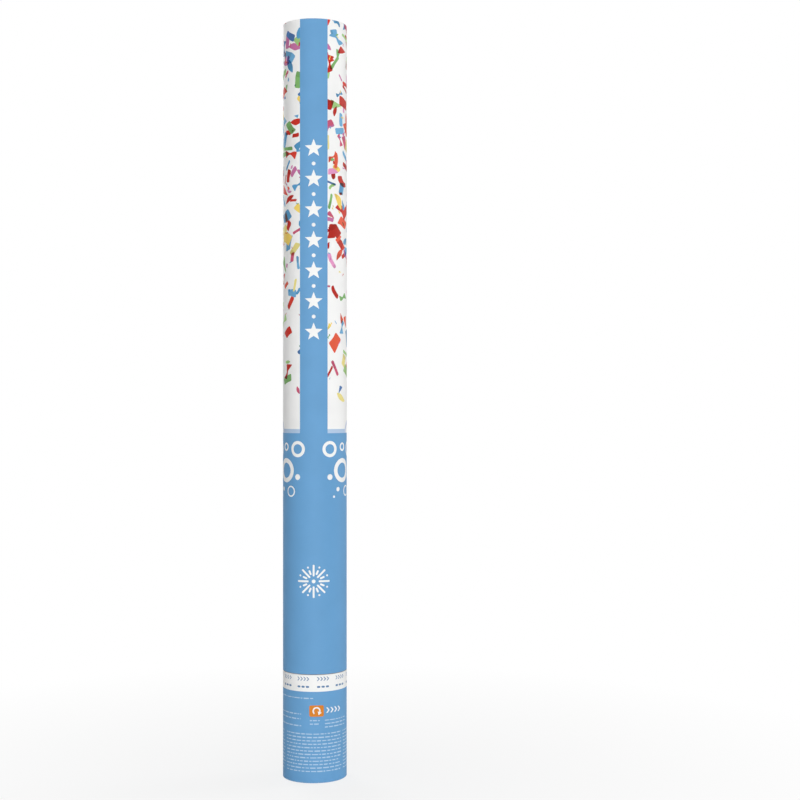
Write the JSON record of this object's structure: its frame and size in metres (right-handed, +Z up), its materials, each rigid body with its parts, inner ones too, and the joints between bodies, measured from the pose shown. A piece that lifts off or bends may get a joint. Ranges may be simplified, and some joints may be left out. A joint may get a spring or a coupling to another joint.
{
  "type": "confetti popper",
  "caption": "Long printed cardboard tube with a twist grip at its foot: turning the grip opens a valve on a compressed-air can, which blows paper confetti out of the muzzle.",
  "frame": {"origin": "middle of the foot, on the surface that the popper stands on", "axes": "+Z up the tube from the grip to the muzzle, -Y out of the front stripe of the print"},
  "size_m": [0.051, 0.051, 0.6],
  "materials": {
    "printed_barrel_paper": "satin",
    "printed_grip_paper": "satin",
    "tube_board": "matte",
    "white_plastic": "matte",
    "black_plastic": "satin",
    "natural_nylon": "satin",
    "can_aluminium": "satin",
    "black_rubber": "matte",
    "bright_steel": "satin",
    "grey_foam": "matte",
    "white_card": "matte",
    "tissue_blue": "matte",
    "tissue_green": "matte",
    "tissue_yellow": "matte",
    "tissue_pink": "matte",
    "tissue_red": "matte"
  },
  "bodies": {
    "barrel": {"barrel_tube": "tube_board", "barrel_label": "printed_barrel_paper", "cam_collar": "white_plastic"},
    "grip": {"grip_tube": "tube_board", "grip_label": "printed_grip_paper", "swivel_coupler": "white_plastic", "base_plug": "white_plastic", "air_can": "can_aluminium", "fill_plug": "black_rubber", "neck_gasket": "black_rubber", "valve_body": "natural_nylon", "crimp_ferrule": "can_aluminium", "snap_ring": "bright_steel"},
    "stopper": {"stopper": "black_plastic", "stopper_seal": "black_rubber", "cross_pin": "bright_steel"},
    "pusher": {"pusher_cup": "black_plastic", "foam_wad": "grey_foam"},
    "confetti_blue": {"confetti_blue": "tissue_blue"},
    "confetti_green": {"confetti_green": "tissue_green"},
    "confetti_yellow": {"confetti_yellow": "tissue_yellow"},
    "confetti_pink": {"confetti_pink": "tissue_pink"},
    "confetti_red": {"confetti_red": "tissue_red"},
    "muzzle_disc": {"muzzle_disc": "white_card"}
  },
  "joints": [
    {"name": "grip_twist", "type": "hinge", "parent": "barrel", "child": "grip", "pos_m": [0, 0, 0.0852], "axis": [0, 0, 1], "range_deg": [0, 120]},
    {"name": "stopper_lift", "type": "slide", "parent": "grip", "child": "stopper", "axis": [0, 0, 1], "range_m": [0, 0.008]},
    {"name": "pusher_launch", "type": "slide", "parent": "barrel", "child": "pusher", "axis": [0, 0, 1], "range_m": [0, 0.4147]},
    {"name": "confetti_blue_launch", "type": "slide", "parent": "barrel", "child": "confetti_blue", "axis": [0, 0, 1], "range_m": [0, 0.4148]},
    {"name": "confetti_green_launch", "type": "slide", "parent": "barrel", "child": "confetti_green", "axis": [0, 0, 1], "range_m": [0, 0.4479]},
    {"name": "confetti_yellow_launch", "type": "slide", "parent": "barrel", "child": "confetti_yellow", "axis": [0, 0, 1], "range_m": [0, 0.4811]},
    {"name": "confetti_pink_launch", "type": "slide", "parent": "barrel", "child": "confetti_pink", "axis": [0, 0, 1], "range_m": [0, 0.5143]},
    {"name": "confetti_red_launch", "type": "slide", "parent": "barrel", "child": "confetti_red", "axis": [0, 0, 1], "range_m": [0, 0.5475]},
    {"name": "muzzle_disc_launch", "type": "slide", "parent": "barrel", "child": "muzzle_disc", "axis": [0, 0, 1], "range_m": [0, 0.6014]}
  ],
  "couplings": [
    {"joint": "stopper_lift", "follows": "grip_twist", "m_per_rad": 0.0038197},
    {"joint": "confetti_blue_launch", "follows": "pusher_launch", "ratio": 1},
    {"joint": "confetti_green_launch", "follows": "pusher_launch", "ratio": 1.08},
    {"joint": "confetti_yellow_launch", "follows": "pusher_launch", "ratio": 1.16},
    {"joint": "confetti_pink_launch", "follows": "pusher_launch", "ratio": 1.24},
    {"joint": "confetti_red_launch", "follows": "pusher_launch", "ratio": 1.32},
    {"joint": "muzzle_disc_launch", "follows": "pusher_launch", "ratio": 1.45}
  ]
}
